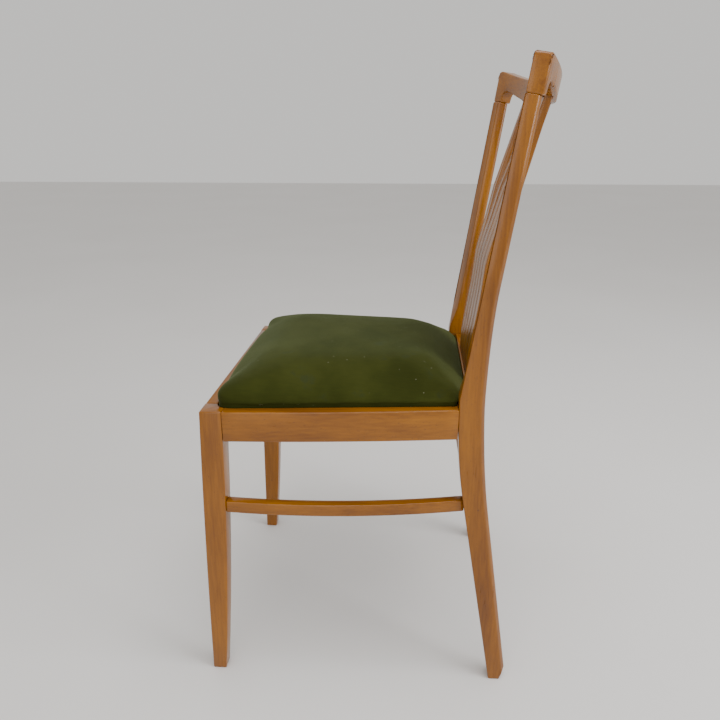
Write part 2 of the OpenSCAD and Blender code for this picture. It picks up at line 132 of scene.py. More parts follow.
def work(obj: bpy.types.Object, kind: str, **settings: object) -> None:
    """Adds a modifier, sets it and applies it.

    Args:
        obj: The object to work on.
        kind: The modifier's type.
        settings: The modifier's own settings.
    """
    modifier = obj.modifiers.new(kind.title(), kind)
    for key, value in settings.items():
        setattr(modifier, key, value)
    take_up(obj)
    bpy.ops.object.modifier_apply(modifier=modifier.name)


def smooth(obj: bpy.types.Object, degrees: float = ALL_SMOOTH) -> bpy.types.Object:
    """Shades an object smooth, and keeps edges sharper than an angle crisp.

    Args:
        obj: The object to shade.
        degrees: The angle above which an edge stays crisp.

    Returns:
        The same object.
    """
    take_up(obj)
    if degrees >= ALL_SMOOTH:
        bpy.ops.object.shade_smooth()
    else:
        bpy.ops.object.shade_smooth_by_angle(angle=math.radians(degrees))
    return obj


def faces_of(obj: bpy.types.Object) -> int:
    """How many faces a piece has."""
    return len(obj.data.polygons)


def take_from_cad(node: str, name: str, flat: float = LEVEL_ANGLE) -> bpy.types.Object:
    """Copies a CAD node's mesh, closes its seams and clears the triangle lines of its flat faces.

    Args:
        node: The CAD node.
        name: The new piece's name.
        flat: The angle in degrees under which neighbouring faces become one; 0 keeps them all.

    Returns:
        The new object.
    """
    obj = bpy.data.objects.new(name, frame["nodes"][node].data.copy())
    bpy.context.scene.collection.objects.link(obj)
    obj.data.materials.clear()
    edit(obj)
    bpy.ops.mesh.remove_doubles(threshold=WELD)
    if flat > 0:
        bpy.ops.mesh.dissolve_limited(angle_limit=math.radians(flat))
    return close(obj)


def hand_over(
    obj: bpy.types.Object, material: bpy.types.Material, body: str, slot: str, *nodes: str
) -> None:
    """Gives a finished piece its material and its body, and hides the CAD nodes it stands for.

    Args:
        obj: The finished piece.
        material: Its finish.
        body: The CAD body it moves with.
        slot: The record's material slot; not used.
        nodes: The CAD nodes it replaces.
    """
    obj.data.materials.clear()
    obj.data.materials.append(material)
    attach(obj, body)
    if nodes:
        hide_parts(*nodes)


# ---------------------------------------------------------------- shader maths


class Signal:
    """One output socket of a material; arithmetic on it adds Math nodes."""

    def __init__(self, shader: "Shader", socket: bpy.types.NodeSocket) -> None:
        """Wraps a socket of a shader's tree."""
        self.shader = shader
        self.socket = socket

    def maths(self, operation: str, first: "Value", second: "Value" = 0.0) -> "Signal":
        """Adds a Math node.

        Args:
            operation: The node's operation.
            first: Its first value.
            second: Its second value.

        Returns:
            The node's result.
        """
        return self.shader.node("ShaderNodeMath", {"operation": operation}, {0: first, 1: second})

    def __add__(self, other: "Value") -> "Signal":
        """self + other."""
        return self.maths("ADD", self, other)

    def __sub__(self, other: "Value") -> "Signal":
        """self - other."""
        return self.maths("SUBTRACT", self, other)

    def __rsub__(self, other: "Value") -> "Signal":
        """other - self."""
        return self.maths("SUBTRACT", other, self)

    def __mul__(self, other: "Value") -> "Signal":
        """self * other."""
        return self.maths("MULTIPLY", self, other)

    __radd__ = __add__
    __rmul__ = __mul__

    def wave(self) -> "Signal":
        """The sine, brought from -1..1 to 0..1."""
        return self.maths("SINE", self) * 0.5 + 0.5

    def ramp(self, low: float, high: float) -> "Signal":
        """Rises smoothly from 0 at low to 1 at high.

        Args:
            low: The value that gives 0.
            high: The value that gives 1.

        Returns:
            The smooth step.
        """
        settings = {"interpolation_type": "SMOOTHSTEP"}
        return self.shader.node("ShaderNodeMapRange", settings, {0: self, 1: low, 2: high})


Value = Union[Signal, float, Triple, Colour]


class Shader:
    """The node tree of one material, round a Principled surface."""

    def __init__(self, name: str, **constants: object) -> None:
        """Starts a material.

        Args:
            name: The material's name.
            constants: Numbers of the surface that are the same all over, spaces as underscores.
        """
        self.material = bpy.data.materials.new(name)
        self.material.use_nodes = True
        self.tree = self.material.node_tree
        self.tree.nodes.clear()
        self.surface = self.tree.nodes.new("ShaderNodeBsdfPrincipled")
        output = self.tree.nodes.new("ShaderNodeOutputMaterial")
        self.tree.links.new(self.surface.outputs[0], output.inputs[0])
        for key, value in constants.items():
            self.surface.inputs[key.replace("_", " ")].default_value = value

    def node(
        self,
        kind: str,
        settings: Optional[dict] = None,
        values: Optional[dict] = None,
        output: Union[int, str] = 0,
    ) -> Signal:
        """Adds any node.

        Args:
            kind: The node's type.
            settings: Its own settings, such as an operation.
            values: Values or links of its sockets, by number or name.
            output: Which of its outputs is given back.

        Returns:
            The output.
        """
        made = self.tree.nodes.new(kind)
        for key, value in (settings or {}).items():
            setattr(made, key, value)
        for key, value in (values or {}).items():
            if isinstance(value, Signal):
                self.tree.links.new(value.socket, made.inputs[key])
            else:
                made.inputs[key].default_value = value
        return Signal(self, made.outputs[output])

    def place(self, scale: Triple = (1.0, 1.0, 1.0)) -> Signal:
        """The object's own coordinates in metres; a scale under 1 draws the pattern out."""
        point = self.node("ShaderNodeTexCoord", output="Object")
        return self.node("ShaderNodeMapping", {}, {0: point, 3: scale})

    def axis(self, name: str) -> Signal:
        """One of the object's own coordinates: X, Y or Z."""
        return self.node("ShaderNodeSeparateXYZ", {}, {0: self.place()}, output=name)

    def noise(self, at: Signal, scale: float, detail: float = 2.0, rough: float = 0.5) -> Signal:
        """Even noise from 0 to 1.

        Args:
            at: The coordinates it reads.
            scale: How many blobs there are to a metre.
            detail: How many octaves it has.
            rough: How strong the small octaves are.

        Returns:
            The noise.
        """
        values = {"Vector": at, "Scale": scale, "Detail": detail, "Roughness": rough}
        return self.node("ShaderNodeTexNoise", {}, values)

    def specks(self, at: Signal, scale: float, size: float) -> Signal:
        """Small round specks, 1 inside and 0 outside.

        Args:
            at: The coordinates they lie in.
            scale: How many cells there are to a metre.
            size: The speck's radius as a share of its cell.

        Returns:
            The mask.
        """
        near = self.node("ShaderNodeTexVoronoi", {}, {"Vector": at, "Scale": scale})
        core = 0.6 * size
        return 1.0 - near.ramp(core, size)

    def mix(self, share: Value, first: Value, second: Value) -> Signal:
        """Mixes two colours.

        Args:
            share: How much of the second shows.
            first: The colour at 0.
            second: The colour at 1.

        Returns:
            The mixed colour.
        """
        values = {0: share, 6: first, 7: second}
        return self.node("ShaderNodeMix", {"data_type": "RGBA"}, values, output=2)

    def bump(self, height: Signal, depth: float, strength: float = 1.0) -> Signal:
        """A bumped normal.

        Args:
            height: The height from 0 to 1.
            depth: What 1 stands for, in metres.
            strength: How much of it shows.

        Returns:
            The normal.
        """
        values = {"Height": height, "Distance": depth, "Strength": strength}
        return self.node("ShaderNodeBump", {}, values)

    def feed(self, **signals: Signal) -> bpy.types.Material:
        """Links signals to the surface's sockets, spaces as underscores.

        Args:
            signals: The signals by socket name.

        Returns:
            The finished material.
        """
        for key, signal in signals.items():
            self.tree.links.new(signal.socket, self.surface.inputs[key.replace("_", " ")])
        return self.material


# ---------------------------------------------------------------- finishes
# A field that ends in _scale says how many blobs of that pattern there are to a metre.


class Grain(Enum):
    """Which way the grain runs, as how much the figure is stretched along each axis."""

    ALONG_X = (0.06, 1.0, 1.0)
    ALONG_Y = (1.0, 0.06, 1.0)
    ALONG_Z = (1.0, 1.0, 0.06)


@dataclass(frozen=True)
class LacqueredBeech:
    """Beech stained honey brown under an old glossy lacquer."""

    deep: Colour = (0.125, 0.036, 0.0, 1.0)
    warm: Colour = (0.330, 0.117, 0.0, 1.0)
    fleck: Colour = (0.110, 0.035, 0.006, 1.0)
    worn: Colour = (0.060, 0.028, 0.014, 1.0)
    coat: float = 0.35
    coat_roughness: float = 0.11
    coat_ior: float = 1.5
    specular: float = 0.3
    figure_scale: float = 34.0
    streak_scale: float = 330.0
    cloud_scale: float = 7.0
    ray_scale: float = 900.0
    ray_stretch: float = 0.24
    nick_scale: float = 150.0
    peel_scale: float = 90.0
    relief: float = 0.12 * MM

    def material(self, grain: Grain) -> bpy.types.Material:
        """Mixes the finish for one way of the grain.

        Args:
            grain: Which way the grain runs.

        Returns:
            The material.
        """
        name = f"lacquered_beech_{grain.name.lower()}"
        shader = Shader(
            name,
            Coat_Weight=self.coat,
            Coat_Roughness=self.coat_roughness,
            Coat_IOR=self.coat_ior,
            Specular_IOR_Level=self.specular,
        )
        along = shader.place(grain.value)
        whole = shader.place()
        figure = shader.noise(along, self.figure_scale, 4.0, 0.55).ramp(0.28, 0.72)
        streaks = shader.noise(along, self.streak_scale, 3.0, 0.6).ramp(0.25, 0.75)
        cloud = shader.noise(whole, self.cloud_scale, 3.0, 0.5).ramp(0.3, 0.7)
        short = tuple(self.ray_stretch if part < 1.0 else 1.0 for part in grain.value)
        rays = shader.noise(shader.place(short), self.ray_scale, 1.0, 0.4).ramp(0.66, 0.74)
        tone = figure * 0.45 + streaks * 0.3 + cloud * 0.25
        base = shader.mix(tone, self.deep, self.warm)
        base = shader.mix(rays * 0.55, base, self.fleck)
        nick = shader.noise(whole, self.nick_scale, 2.0, 0.6).ramp(0.735, 0.775)
        base = shader.mix(nick * 0.6, base, self.worn)
        peel = shader.noise(whole, self.peel_scale, 2.0, 0.5)
        height = peel * 0.35 + streaks * 0.25 - rays * 0.25 - nick * 0.6
        rough = cloud * 0.10 + streaks * 0.06 + nick * 0.2 + 0.26
        return shader.feed(
            Base_Color=base, Roughness=rough, Normal=shader.bump(height, self.relief, 0.6)
        )


@dataclass(frozen=True)
class BareBeech:
    """Unfinished beech of the hidden seat frame, blocks and dowels."""

    pale: Colour = (0.56, 0.37, 0.20, 1.0)
    brown: Colour = (0.38, 0.22, 0.10, 1.0)
    figure_scale: float = 40.0
    fibre_scale: float = 600.0
    age_scale: float = 12.0
    relief: float = 0.15 * MM

    def material(self, grain: Grain) -> bpy.types.Material:
        """Mixes the finish for one way of the grain.

        Args:
            grain: Which way the grain runs.

        Returns:
            The material.
        """
        shader = Shader(f"bare_beech_{grain.name.lower()}")
        along = shader.place(grain.value)
        figure = shader.noise(along, self.figure_scale, 4.0, 0.55).ramp(0.3, 0.7)
        fibre = shader.noise(along, self.fibre_scale, 3.0, 0.6)
        age = shader.noise(shader.place(), self.age_scale, 2.0, 0.5)
        base = shader.mix(figure * 0.6 + fibre * 0.4, self.brown, self.pale)
        base = shader.mix(age.ramp(0.45, 0.8) * 0.35, base, self.brown)
        return shader.feed(
            Base_Color=base,
            Roughness=fibre * 0.2 + 0.55,
            Normal=shader.bump(fibre, self.relief, 0.7),
        )


@dataclass(frozen=True)
class BluedSteel:
    """Tacks and screws, blued and lightly rusted."""

    bright: Colour = (0.30, 0.31, 0.33, 1.0)
    rust: Colour = (0.16, 0.07, 0.035, 1.0)
    spot_scale: float = 420.0
    relief: float = 0.05 * MM

    def material(self) -> bpy.types.Material:
        """The finish as a material."""
        shader = Shader("blued_steel")
        spots = shader.noise(shader.place(), self.spot_scale, 3.0, 0.6).ramp(0.5, 0.66)
        base = shader.mix(spots, self.bright, self.rust)
        return shader.feed(
            Base_Color=base,
            Metallic=1.0 - spots * 0.8,
            Roughness=spots * 0.4 + 0.35,
            Normal=shader.bump(spots, self.relief, 0.6),
        )


@dataclass(frozen=True)
class WovenCloth:
    """Plain woven cloth: webbing, hessian or dust cloth."""

    name: str
    light: Colour
    dark: Colour
    pitch: float
    loose_scale: float = 60.0
    looseness: float = 1.6
    fuzz_scale: float = 900.0

    def material(self) -> bpy.types.Material:
        """The finish as a material."""
        shader = Shader(self.name, Sheen_Weight=0.15, Sheen_Roughness=0.5)
        turns = 2.0 * math.pi / self.pitch
        loose = shader.noise(shader.place(), self.loose_scale, 2.0, 0.5) * self.looseness
        warp = (shader.axis("X") * turns + loose).wave()
        weft = (shader.axis("Y") * turns + loose).wave()
        weave = (warp + weft) * 0.5
        fuzz = shader.noise(shader.place(), self.fuzz_scale, 3.0, 0.6)
        base = shader.mix(weave * 0.6 + fuzz * 0.4, self.dark, self.light)
        return shader.feed(
            Base_Color=base,
            Roughness=fuzz * 0.1 + 0.82,
            Normal=shader.bump(weave, 0.3 * self.pitch, 0.8),
        )


@dataclass(frozen=True)
class Wadding:
    """Matted cotton and hair under the cover."""

    light: Colour = (0.62, 0.57, 0.47, 1.0)
    grey: Colour = (0.48, 0.43, 0.34, 1.0)
    dark: Colour = (0.24, 0.19, 0.13, 1.0)
    tuft_scale: float = 160.0
    hair_scale: float = 900.0
    relief: float = 1.0 * MM

    def material(self) -> bpy.types.Material:
        """The finish as a material."""
        shader = Shader("wadding", Sheen_Weight=0.3, Sheen_Roughness=0.6)
        tufts = shader.noise(shader.place(), self.tuft_scale, 4.0, 0.65)
        drawn = shader.place((1.0, 0.15, 1.0))
        hair = shader.noise(drawn, self.hair_scale, 2.0, 0.6).ramp(0.6, 0.7)
        base = shader.mix(tufts, self.light, self.grey)
        base = shader.mix(hair * 0.5, base, self.dark)
        return shader.feed(
            Base_Color=base,
            Roughness=tufts * 0.1 + 0.85,
            Normal=shader.bump(tufts, self.relief, 0.7),
        )


@dataclass(frozen=True)
class Velvet:
    """Olive green cotton velvet, its pile pressed in places, with a little lint on it."""

    deep: Colour = (0.017, 0.021, 0.001, 1.0)
    bright: Colour = (0.036, 0.041, 0.003, 1.0)
    pressed: Colour = (0.020, 0.028, 0.008, 1.0)
    lint: Colour = (0.34, 0.33, 0.24, 1.0)
    sheen: float = 0.25
    sheen_roughness: float = 0.38
    sheen_tint: Colour = (0.42, 0.52, 0.26, 1.0)
    specular: float = 0.15
    lying_scale: float = 420.0
    cloud_scale: float = 13.0
    bruise_scale: float = 26.0
    pile_scale: float = 1500.0
    thread_scale: float = 75.0
    lint_scale: float = 95.0
    lint_size: float = 0.07
    relief: float = 0.5 * MM

    def material(self) -> bpy.types.Material:
        """The finish as a material."""
        shader = Shader(
            "olive_velvet",
            Sheen_Weight=self.sheen,
            Sheen_Roughness=self.sheen_roughness,
            Sheen_Tint=self.sheen_tint,
            Specular_IOR_Level=self.specular,
        )
        whole = shader.place()
        lying = shader.noise(shader.place((1.0, 0.07, 1.0)), self.lying_scale, 3.0, 0.6)
        cloud = shader.noise(whole, self.cloud_scale, 3.0, 0.55).ramp(0.3, 0.72)
        bruise = shader.noise(whole, self.bruise_scale, 4.0, 0.6).ramp(0.60, 0.72)
        pile = shader.noise(whole, self.pile_scale, 1.0, 0.5)
        base = shader.mix(lying * 0.45 + cloud * 0.55, self.deep, self.bright)
        base = shader.mix(bruise * 0.55, base, self.pressed)
        thread = shader.noise(whole, self.thread_scale, 0.0, 0.5).ramp(0.55, 0.56)
        dust = shader.specks(whole, self.lint_scale, self.lint_size) * thread
        base = shader.mix(dust * 0.7, base, self.lint)
        height = pile * 0.5 + lying * 0.3 - bruise * 0.3
        return shader.feed(
            Base_Color=base,
            Roughness=0.95 - cloud * 0.1,
            Normal=shader.bump(height, self.relief, 0.55),
        )


# ---------------------------------------------------------------- the frame


@dataclass
class WoodPart:
    """A wooden part taken from CAD, with its arrises eased.

    A point that the easing throws further than stray times ease off the wood is brought back.
    """

    node: str
    grain: Grain
    ease: float = 1.3 * MM
    steps: int = 3
    flat: float = LEVEL_ANGLE
    stray: float = 0.6

    def build(self) -> bpy.types.Object:
        """Copies the part and rounds its arrises.

        Returns:
            The finished mesh object.
        """
        obj = take_from_cad(self.node, f"{self.node}_wood", self.flat)
        work(
            obj,
            "BEVEL",
            width=self.ease,
            segments=self.steps,
            limit_method="ANGLE",
            angle_limit=math.radians(ARRIS_ANGLE),
            use_clamp_overlap=False,
        )
        self.draw_back(obj)
        return smooth(obj, WOOD_CRISP)

    def draw_back(self, obj: bpy.types.Object) -> None:
        """Brings back points that a keen corner's rounding has thrown off the wood.

        Args:
            obj: The eased part.
        """
        wood = frame["nodes"][self.node]
        for point in obj.data.vertices:
            _, surface, _, _ = wood.closest_point_on_mesh(point.co)
            if (point.co - surface).length > self.stray * self.ease:
                point.co = surface


@dataclass
class FrameWood:
    """A group of lacquered parts that ride together on the frame."""

    parts: Sequence[WoodPart]
    label: str

    def build(self, finish: dict[Grain, bpy.types.Material]) -> None:
        """Builds and dresses every part of the group.

        Args:
            finish: The lacquered beech by way of the grain.
        """
        for part in self.parts:
            obj = part.build()
            hand_over(obj, finish[part.grain], "frame", "stained_beech", part.node)
            log.info("%s: %s, %d faces", self.label, obj.name, faces_of(obj))


class Legs(FrameWood):
    """The two curved front legs and the two rear legs that run up to the crest."""

    def __init__(self) -> None:
        """Lists the four legs."""
        parts = [
            WoodPart(f"{place}_leg_{side}", Grain.ALONG_Z, 1.8 * MM)
            for place in ("front", "rear")
            for side in ("left", "right")
        ]
        super().__init__(parts, "legs")


class Rails(FrameWood):
    """The four seat rails and the two bowed side stretchers."""

    def __init__(self) -> None:
        """Lists the rails and stretchers."""
        parts = [
            WoodPart(f"{place}_rail", Grain.ALONG_X, 1.2 * MM, flat=0.0)
            for place in ("front", "rear")
        ]
        parts += [
            WoodPart(f"side_{kind}_{side}", Grain.ALONG_Y, ease, flat=0.0)
            for kind, ease in (("rail", 1.2 * MM), ("stretcher", 1.6 * MM))
            for side in ("left", "right")
        ]
        super().__init__(parts, "rails")


class Back(FrameWood):
    """The crest rail and the five slats of the sheaf."""

    def __init__(self) -> None:
        """Lists the crest rail and the slats."""
        parts = [WoodPart("crest_rail", Grain.ALONG_X, 2.0 * MM, 4)]
        parts += [WoodPart(f"back_slat_{n}", Grain.ALONG_Z, 1.6 * MM) for n in range(1, 6)]
        super().__init__(parts, "back")


@dataclass
class Joinery:
    """Dowels, corner blocks and screws behind the rails, and their finishes."""

    blocks: Sequence[str] = (
        "corner_block_front_left",
        "corner_block_front_right",
        "corner_block_rear_left",
        "corner_block_rear_right",
    )

    def build(self, bare: dict[Grain, bpy.types.Material], steel: bpy.types.Material) -> None:
        """Eases the corner blocks and dresses the dowels and screws.

        Args:
            bare: The bare beech by way of the grain.
            steel: The steel of the screws.
        """
        for node in self.blocks:
            obj = WoodPart(node, Grain.ALONG_X, 0.8 * MM, 2).build()
            hand_over(obj, bare[Grain.ALONG_X], "frame", "plain_beech", node)
        dress_node("rail_dowels", bare[Grain.ALONG_Y])
        dress_node("crest_dowels", bare[Grain.ALONG_Z])
        dress_node("corner_block_screws", steel)
        log.info("joinery: blocks, dowels and screws")


def dress_node(node: str, material: bpy.types.Material) -> None:
    """Gives a CAD node that stays as it is its finish.

    Args:
        node: The CAD node.
        material: Its finish.
    """
    mesh = frame["nodes"][node].data
    mesh.materials.clear()
    mesh.materials.append(material)
    take_up(frame["nodes"][node])
    bpy.ops.object.shade_smooth_by_angle(angle=math.radians(WOOD_CRISP))


# ---------------------------------------------------------------- the drop-in seat


@dataclass
class StuffedPad:
    """The stuffing, swollen like a filled bag and held down round its foot.

    Its belly is a bulge of the sides that fills belly_share of the pad's height. It fades out
    over calm_run in front of calm_back, and grows towards the sides (full at half_width) and
    towards the front (from front_start, full after front_run).
    """

    voxel: float = 5.0 * MM
    pressure: float = 4.0
    quality: int = 6
    mass: float = 0.3
    stiffness: float = 12.0
    bending: float = 0.6
    frames: int = 20
    cap: float = 12.0 * MM
    held_height: float = 4.0 * MM
    top: float = 495.6 * MM
    side_belly: float = 3.0 * MM
    front_belly: float = 7.0 * MM
    corner_drop: float = 5.0 * MM
    smoothing: int = 45
    smooth_above: float = 1.5
    belly_share: float = 0.72
    belly_curve: float = 1.3
    calm_back: float = 0.095
    calm_run: float = 0.10
    half_width: float = 0.19
    front_start: float = 0.04
    front_run: float = 0.17

    def build(self) -> bpy.types.Object:
        """Remeshes, swells and smooths the pad.

        Returns:
            The pad, closed.
        """
        obj = take_from_cad("stuffing", "seat_stuffing", 0.0)
        work(obj, "REMESH", mode="VOXEL", voxel_size=self.voxel, use_smooth_shade=True)
        foot = min(point.co.z for point in obj.data.vertices)
        self.swell(obj, foot + self.held_height)
        self.settle(obj, foot)
        work(obj, "SUBSURF", levels=1, render_levels=1)
        self.fit_foot(obj, foot + self.held_height)
        return smooth(obj)

    def fit_foot(self, obj: bpy.types.Object, below: float) -> None:
        """Spreads the pad so that its foot has the outline's full width and depth again.

        Args:
            obj: The pad.
            below: Points under this height are its foot.
        """
        low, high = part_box("stuffing")
        foot = [point.co for point in obj.data.vertices if point.co.z < below]
        spread, start = [], []
        for axis in (0, 1):
            least, most = min(co[axis] for co in foot), max(co[axis] for co in foot)
            spread.append((high[axis] - low[axis]) / (most - least))
            start.append((least, low[axis]))
        for point in obj.data.vertices:
            for axis, (was, now) in enumerate(start):
                point.co[axis] = now + (point.co[axis] - was) * spread[axis]

    def swell(self, obj: bpy.types.Object, held_below: float) -> None:
        """Runs the cloth under pressure and limits how far each point goes.

        Args:
            obj: The remeshed pad.
            held_below: Points below this height stay where they are.
        """
        held = obj.vertex_groups.new(name="held")
        low = [point.index for point in obj.data.vertices if point.co.z < held_below]
        held.add(low, 1.0, "REPLACE")
        start = [point.co.copy() for point in obj.data.vertices]
        cloth = obj.modifiers.new("Swell", "CLOTH")
        cloth.settings.quality = self.quality
        cloth.settings.mass = self.mass
        cloth.settings.tension_stiffness = self.stiffness
        cloth.settings.compression_stiffness = self.stiffness
        cloth.settings.bending_stiffness = self.bending
        cloth.settings.use_pressure = True
        cloth.settings.uniform_pressure_force = self.pressure
        cloth.settings.vertex_group_mass = held.name
        cloth.settings.effector_weights.gravity = 0.0
        cloth.point_cache.frame_start = 1
        cloth.point_cache.frame_end = self.frames
        for step in range(1, self.frames + 1):
            bpy.context.scene.frame_set(step)
        take_up(obj)
        bpy.ops.object.modifier_apply(modifier=cloth.name)
        bpy.context.scene.frame_set(1)
        for point, first in zip(obj.data.vertices, start):
            move = point.co - first
            if move.length > self.cap:
                point.co = first + move.normalized() * self.cap
        obj.vertex_groups.clear()

    def settle(self, obj: bpy.types.Object, foot: float) -> None:
        """Smooths the pad above its foot, plumps its sides and sets its crown's height.

        Args:
            obj: The pad.
            foot: The height of its underside.
        """
        free = obj.vertex_groups.new(name="free")
        above = foot + self.smooth_above * self.held_height
        high = [point.index for point in obj.data.vertices if point.co.z > above]
        free.add(high, 1.0, "REPLACE")
        work(obj, "SMOOTH", factor=0.5, iterations=self.smoothing, vertex_group=free.name)
        obj.vertex_groups.clear()
        tallest = max(point.co.z for point in obj.data.vertices)
        share = (self.top - foot) / (tallest - foot)
        for point in obj.data.vertices:
            point.co.z = foot + (point.co.z - foot) * share
            self.plump(point.co, foot)

    def plump(self, point: Vector, foot: float) -> None:
        """Moves a point of the pad's side outwards, and eases the corners down.

        Args:
            point: The point, which is changed.
            foot: The height of the pad's underside.
        """
        rise = (point.z - foot) / (self.top - foot)
        belly = 0.0
        if rise < self.belly_share:
            turn = math.pi * min(1.0, max(0.0, rise) / self.belly_share)
            belly = math.sin(turn) ** self.belly_curve
        front = min(1.0, max(0.0, (self.calm_back - point.y) / self.calm_run))
        side = min(1.0, abs(point.x) / self.half_width)
        ahead = min(1.0, max(0.0, -(point.y + self.front_start) / self.front_run))
        point.x += math.copysign(self.side_belly * belly * front * side**3, point.x)
        point.y -= self.front_belly * belly * ahead**3
        corner = side**4 * max(ahead, 1.0 - front) ** 4
        point.z -= self.corner_drop * corner * max(0.0, rise)


@dataclass
class VelvetCover:
    """The velvet drawn over the pad, down the seat frame's edge and turned under it."""

    cut_height: float = 445.4 * MM
    hem_height: float = 447.0 * MM
    thickness: float = 0.9 * MM
    rim_depth: float = 0.01 * MM
    flat: tuple[float, float] = (0.50, 0.47)

    def build(self, pad: bpy.types.Object) -> bpy.types.Object:
        """Copies the pad's upper surface and joins the hem to it.

        Args:
            pad: The finished pad.

        Returns:
            The cover.
        """
        obj = bpy.data.objects.new("velvet_seat_cover", pad.data.copy())
        bpy.context.scene.collection.objects.link(obj)
        edit(obj)
        level = (0.0, 0.0, self.cut_height)
        bpy.ops.mesh.bisect(plane_co=level, plane_no=(0.0, 0.0, 1.0), clear_inner=True)
        close(obj)
        work(obj, "SOLIDIFY", thickness=self.thickness, offset=1.0)
        hem = self.hem()
        take_up(obj)
        hem.select_set(True)
        bpy.ops.object.join()
        return smooth(obj, COVER_CRISP)

    def hem(self) -> bpy.types.Object:
        """Makes the straight wall in the rebate and the flange under the seat frame.

        Returns:
            The hem, closed along its upper rim.
        """
        hem = take_from_cad("velvet_cover", "hem", 0.0)
        edit(hem)
        level = (0.0, 0.0, self.hem_height)
        bpy.ops.mesh.bisect(plane_co=level, plane_no=(0.0, 0.0, 1.0), clear_outer=True)
        close(hem)
        rim = self.hem_height - self.rim_depth
        pick_edges(hem, lambda one, two: one.z > rim and two.z > rim)
        edit(hem, "EDGE", everything=False)
        bpy.ops.mesh.bridge_edge_loops()
        return close(hem)


@dataclass
class Webbing:
    """Jute bands tacked across the seat frame, one way.

    CAD points within near times the width of a band's middle line belong to it; body and
    selvedge are shares of the CAD's thickness.
    """

    node: str
    name: str
    lengthwise: bool
    width: float = 0.050
    near: float = 0.6
    count: int = 3
    cells: tuple[int, int] = (8, 48)
    body: float = 0.9
    selvedge: float = 0.3

    def build(self, material: bpy.types.Material) -> None:
        """Lays the bands out between the ends that the CAD gives.

        Args:
            material: The jute finish.
        """
        low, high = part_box(self.node)
        across, along = (0, 1) if self.lengthwise else (1, 0)
        pitch = (high[across] - low[across] - self.width) / (self.count - 1)
        middle = (low + high) / 2.0
        for n in range(self.count):
            centre = middle.copy()
            centre[across] = low[across] + self.width / 2.0 + n * pitch
            reach = max(
                abs(point.co[along] - centre[along])
                for point in frame["nodes"][self.node].data.vertices
                if abs(point.co[across] - centre[across]) < self.near * self.width
            )
            band = self.band(n + 1, centre, 2.0 * reach, high.z - low.z)
            hand_over(band, material, "seat", "webbing", *([] if n else [self.node]))

    def band(self, n: int, centre: Vector, length: float, thick: float) -> bpy.types.Object:
        """Makes one band with rounded selvedges.

        Args:
            n: The band's number.
            centre: Its middle.
            length: Its length.
            thick: Its thickness.

        Returns:
            The band.
        """
        deselect_all()
        cuts = self.cells if self.lengthwise else self.cells[::-1]
        bpy.ops.mesh.primitive_grid_add(
            x_subdivisions=cuts[0], y_subdivisions=cuts[1], size=1.0, location=centre
        )
        obj = bpy.context.object
        obj.name = obj.data.name = f"{self.name}_{n}"
        size = (self.width, length) if self.lengthwise else (length, self.width)
        edit(obj)
        bpy.ops.transform.resize(value=(size[0], size[1], 1.0), center_override=centre)
        close(obj)
        bpy.ops.object.transform_apply(location=True, rotation=True, scale=True)
        work(obj, "SOLIDIFY", thickness=self.body * thick, offset=0.0)
        work(obj, "BEVEL", width=self.selvedge * thick, segments=2, limit_method="ANGLE")
        return smooth(obj, CLOTH_CRISP)


@dataclass
class TightCloth:
    """A thin cloth cut to the outline of its CAD node: the hessian or the dust cloth.

    The sheet starts spare times as large as the outline and body times as thick as the CAD's;
    its middle sags within reach, and the cutter is the outline drawn out cutter_height times.
    """

    node: str
    name: str
    sag: float
    cells: int = 36
    reach: float = 0.16
    spare: float = 1.05
    body: float = 0.8
    cutter_height: float = 60.0

    def build(self, material: bpy.types.Material, slot: str, rests_on: str) -> None:
        """Lays a sheet, lets it sag and cuts it to the outline.

        Args:
            material: The cloth's finish.
            slot: The record's material slot.
            rests_on: What it is stretched on; not used.
        """
        low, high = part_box(self.node)
        middle = (low + high) / 2.0
        deselect_all()
        bpy.ops.mesh.primitive_grid_add(
            x_subdivisions=self.cells, y_subdivisions=self.cells, size=1.0, location=middle
        )
        obj = bpy.context.object
        obj.name = obj.data.name = self.name
        edit(obj)
        size = (self.spare * (high.x - low.x), self.spare * (high.y - low.y), 1.0)
        bpy.ops.transform.resize(value=size, center_override=middle)
        close(obj)
        bpy.ops.object.transform_apply(location=True, rotation=True, scale=True)
        if self.sag > 0.0:
            self.let_sag(obj, middle)
        work(obj, "SOLIDIFY", thickness=self.body * (high.z - low.z), offset=0.0)
        outline = take_from_cad(self.node, "outline")
        edit(outline)
        bpy.ops.transform.resize(value=(1.0, 1.0, self.cutter_height), center_override=middle)
        close(outline)
        work(obj, "BOOLEAN", operation="INTERSECT", object=outline, solver="EXACT")
        bpy.data.objects.remove(outline)
        smooth(obj, CLOTH_CRISP)
        hand_over(obj, material, "seat", slot, self.node)

    def let_sag(self, obj: bpy.types.Object, middle: Vector) -> None:
        """Lowers the middle of the cloth, fading towards its edge.

        Args:
            obj: The cloth.
            middle: Its centre.
        """
        for point in obj.data.vertices:
            away = min(1.0, math.hypot(point.co.x - middle.x, point.co.y - middle.y) / self.reach)
            point.co.z -= self.sag * 0.5 * (1.0 + math.cos(math.pi * away))


